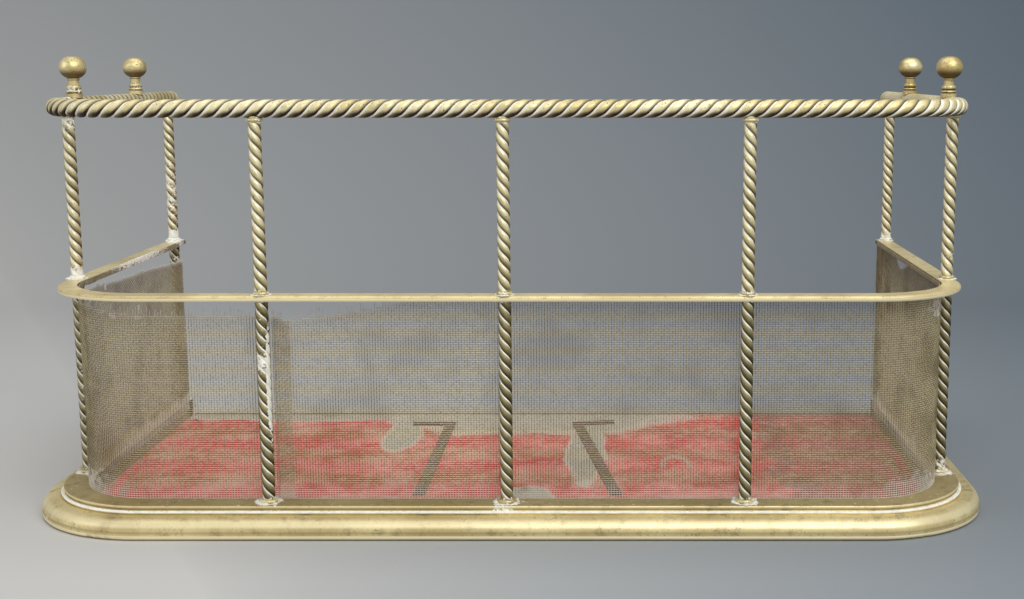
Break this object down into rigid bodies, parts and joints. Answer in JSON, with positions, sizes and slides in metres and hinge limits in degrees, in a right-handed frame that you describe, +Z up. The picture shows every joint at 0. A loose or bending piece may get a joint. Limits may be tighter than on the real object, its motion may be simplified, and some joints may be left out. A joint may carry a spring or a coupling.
{
  "type": "fire fender",
  "caption": "Free-standing brass fire fender, U-shaped in plan, with twisted columns and rail, ball finials, a wire guard and a sheet iron floor.",
  "frame": {"origin": "on the ground under the middle of the bounding box", "axes": "+Z up, +X to the right along the front, front faces -Y"},
  "size_m": [1.22, 0.622, 0.5803],
  "materials": {
    "base_brass": "aged, rubbed bright on the torus, pitted",
    "mid_brass": "aged, pale and worn smooth",
    "rail_brass": "aged, dark in the grooves of the twist",
    "column_brass": "aged, olive brown, polish residue in the grooves",
    "ring_brass": "aged, with white polish residue",
    "finial_brass": "polished but tarnished",
    "wire_brass": "dull woven wire",
    "black_iron": "blackened iron",
    "strip_iron": "dark, rusty iron strip",
    "strap_iron": "worn dark iron",
    "floor_iron": "worn red oxide paint over sheet iron"
  },
  "bodies": {
    "root": {"base_moulding_front": "base_brass", "base_moulding_corners": "base_brass", "base_moulding_left": "base_brass", "base_moulding_right": "base_brass", "base_frame_front": "black_iron", "base_frame_corners": "black_iron", "base_frame_left": "black_iron", "base_frame_right": "black_iron", "joint_plates": "black_iron", "mid_bar_front": "black_iron", "mid_bar_left": "black_iron", "mid_bar_right": "black_iron", "rail_spigots": "black_iron", "tie_rods": "black_iron", "foot_nuts": "black_iron", "rail_nuts": "black_iron", "floor_plate": "floor_iron", "floor_rivets": "strap_iron", "strap_left": "strap_iron", "strap_right": "strap_iron", "strap_rivets": "strap_iron", "mid_rail_front": "mid_brass", "mid_rail_left": "mid_brass", "mid_rail_right": "mid_brass", "top_rail_front": "rail_brass", "top_rail_left": "rail_brass", "top_rail_right": "rail_brass", "rail_end_plugs": "rail_brass", "lower_column_1": "column_brass", "lower_column_2": "column_brass", "lower_column_3": "column_brass", "lower_column_4": "column_brass", "lower_column_5": "column_brass", "lower_column_6": "column_brass", "lower_column_7": "column_brass", "upper_column_1": "column_brass", "upper_column_2": "column_brass", "upper_column_3": "column_brass", "upper_column_4": "column_brass", "upper_column_5": "column_brass", "upper_column_6": "column_brass", "upper_column_7": "column_brass", "foot_rings": "ring_brass", "mid_rings": "ring_brass", "top_rings": "ring_brass", "finial_left_front": "finial_brass", "finial_left_rear": "finial_brass", "finial_right_front": "finial_brass", "finial_right_rear": "finial_brass", "guard_left": "wire_brass", "guard_corner_left": "wire_brass", "guard_front_left": "wire_brass", "guard_front_right": "wire_brass", "guard_corner_right": "wire_brass", "guard_right": "wire_brass", "guard_strip_low": "strip_iron", "guard_strip_high": "strip_iron"}
  },
  "joints": []
}
